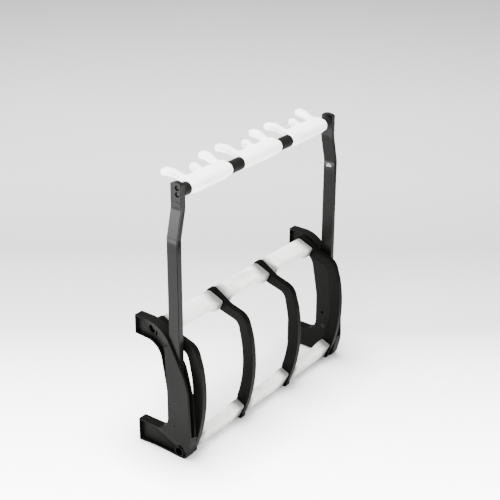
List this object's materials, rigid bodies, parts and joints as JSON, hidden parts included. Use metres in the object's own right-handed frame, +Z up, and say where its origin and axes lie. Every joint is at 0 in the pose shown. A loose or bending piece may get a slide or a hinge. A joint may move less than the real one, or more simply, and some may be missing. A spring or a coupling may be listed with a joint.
{
  "type": "folding multi-instrument floor rack",
  "caption": "Folding floor rack for guitars: C-shaped end plates, padded rails between curved ribs, and pivoting uprights with a pronged neck rail, shown folded and standing on its end.",
  "frame": {"origin": "centre of the footprint on the floor, folded rack standing on the feet of its end plates", "axes": "+X along the rails to the right, +Y toward the open side of the end plates (down when the rack is in use), +Z up"},
  "size_m": [0.642, 0.1794, 0.6948],
  "materials": {
    "plate": "satin moulded black",
    "rib": "satin moulded black",
    "upright": "satin dark grey coating",
    "fitting": "satin moulded black",
    "rail": "plated steel tube",
    "sleeve": "milky translucent soft foam",
    "neck_rest": "milky translucent soft foam",
    "collar": "dark satin rubber",
    "fastener": "dark plated screw",
    "screw": "bright plated screw",
    "washer": "pale slippery plastic",
    "bush": "pale slippery plastic",
    "plug": "black plastic",
    "stud": "pale soft button",
    "pad": "black rubber"
  },
  "bodies": {
    "base": {"left_end_plate": "plate", "left_arm_tip_pad": "pad", "left_foot_tip_pad": "pad", "left_pivot_bolt": "fastener", "left_pivot_washers": "washer", "right_end_plate": "plate", "right_arm_tip_pad": "pad", "right_foot_tip_pad": "pad", "right_pivot_bolt": "fastener", "right_pivot_washers": "washer", "left_end_rib": "rib", "left_middle_rib": "rib", "right_middle_rib": "rib", "right_end_rib": "rib", "front_rail_tube": "rail", "front_rail_plugs": "plug", "front_sleeve_left": "sleeve", "front_sleeve_middle": "sleeve", "front_sleeve_right": "sleeve", "rear_rail_tube": "rail", "rear_rail_plugs": "plug", "rear_sleeve_left": "sleeve", "rear_sleeve_middle": "sleeve", "rear_sleeve_right": "sleeve", "rail_bolts": "fastener"},
    "upright_frame": {"left_upright": "upright", "left_upright_end_plug": "plug", "left_top_fitting": "fitting", "left_bumper_stud": "stud", "left_pivot_bush": "bush", "right_upright": "upright", "right_upright_end_plug": "plug", "right_top_fitting": "fitting", "right_bumper_stud": "stud", "right_pivot_bush": "bush", "top_fitting_screws": "screw", "neck_rail_tube": "rail", "neck_rail_plugs": "plug", "neck_rest_left": "neck_rest", "neck_collar_left_a": "collar", "neck_collar_left_b": "collar", "neck_rest_middle": "neck_rest", "neck_collar_middle_a": "collar", "neck_collar_middle_b": "collar", "neck_rest_right": "neck_rest", "neck_collar_right_a": "collar", "neck_collar_right_b": "collar"}
  },
  "joints": [
    {"name": "upright_fold", "type": "hinge", "parent": "base", "child": "upright_frame", "pos_m": [0, -0.0265, 0.083], "axis": [1, 0, 0], "range_deg": [0, 95]}
  ]
}
